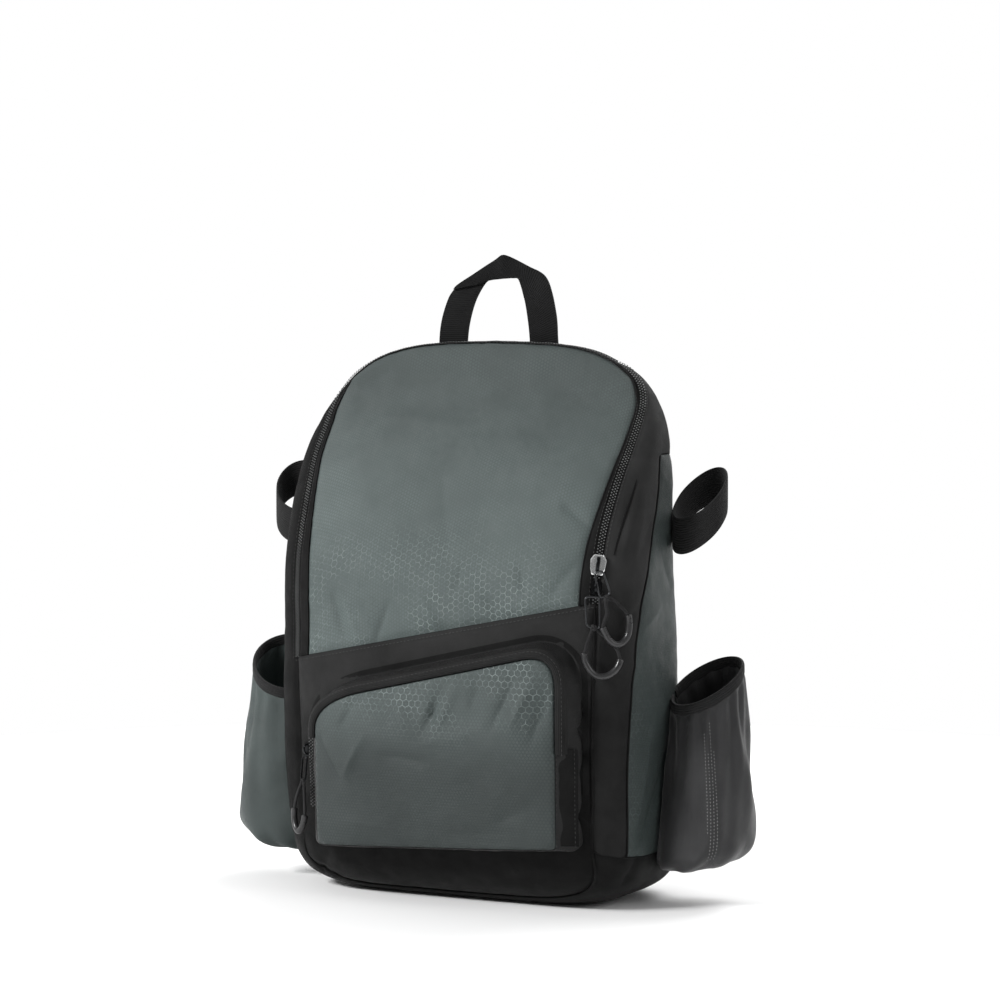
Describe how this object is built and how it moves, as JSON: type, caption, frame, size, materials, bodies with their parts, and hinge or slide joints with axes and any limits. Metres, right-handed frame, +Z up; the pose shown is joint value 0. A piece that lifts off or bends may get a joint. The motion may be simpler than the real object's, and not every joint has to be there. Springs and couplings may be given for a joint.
{
  "type": "baseball bat backpack",
  "caption": "Upright padded backpack with a zipped front, front pocket, bat sleeve and elastic loop on each side, carry handle and two shoulder straps.",
  "frame": {"origin": "middle of the flat underside of the base, on the floor", "axes": "+Z up, the front faces -Y, the wearer's back is at +Y, +X is the right side seen from the front"},
  "size_m": [0.4645, 0.1994, 0.522],
  "materials": {
    "grey_cloth": "embossed woven polyester",
    "black_cloth": "plain woven polyester",
    "stretch_cloth": "stretch knit with a soft sheen",
    "black_mesh": "spacer mesh",
    "webbing": "flat woven webbing",
    "elastic": "ribbed elastic",
    "zipper_tape": "woven tape with a nylon coil",
    "cord": "thin braid",
    "bright_metal": "bright plated",
    "dark_metal": "gunmetal plated",
    "rubber": "smooth moulded rubber",
    "black_plastic": "moulded"
  },
  "bodies": {
    "root": {"front_panel": "grey_cloth", "lower_front_panel": "black_cloth", "zip_strip": "black_cloth", "main_zipper": "zipper_tape", "gusset": "black_cloth", "base_panel": "black_cloth", "back_panel": "black_mesh", "pocket_face": "grey_cloth", "pocket_wall": "black_cloth", "pocket_zipper": "zipper_tape", "carry_handle": "webbing", "side_panel_left": "grey_cloth", "bat_pocket_left": "grey_cloth", "bat_pocket_binding_left": "elastic", "bat_strap_left": "elastic", "shoulder_strap_left": "black_mesh", "strap_buckle_left": "black_plastic", "strap_webbing_left": "webbing", "strap_anchor_left": "webbing", "side_panel_right": "grey_cloth", "bat_pocket_right": "stretch_cloth", "bat_pocket_binding_right": "elastic", "bat_strap_right": "elastic", "shoulder_strap_right": "black_mesh", "strap_buckle_right": "black_plastic", "strap_webbing_right": "webbing", "strap_anchor_right": "webbing", "upper_pull_slider": "bright_metal", "upper_pull_link": "dark_metal", "upper_pull_cord": "cord", "upper_pull_grip": "rubber", "lower_pull_slider": "dark_metal", "lower_pull_link": "dark_metal", "lower_pull_cord": "cord", "lower_pull_grip": "rubber", "pocket_pull_slider": "dark_metal", "pocket_pull_link": "dark_metal", "pocket_pull_cord": "cord", "pocket_pull_grip": "rubber"}
  },
  "joints": []
}
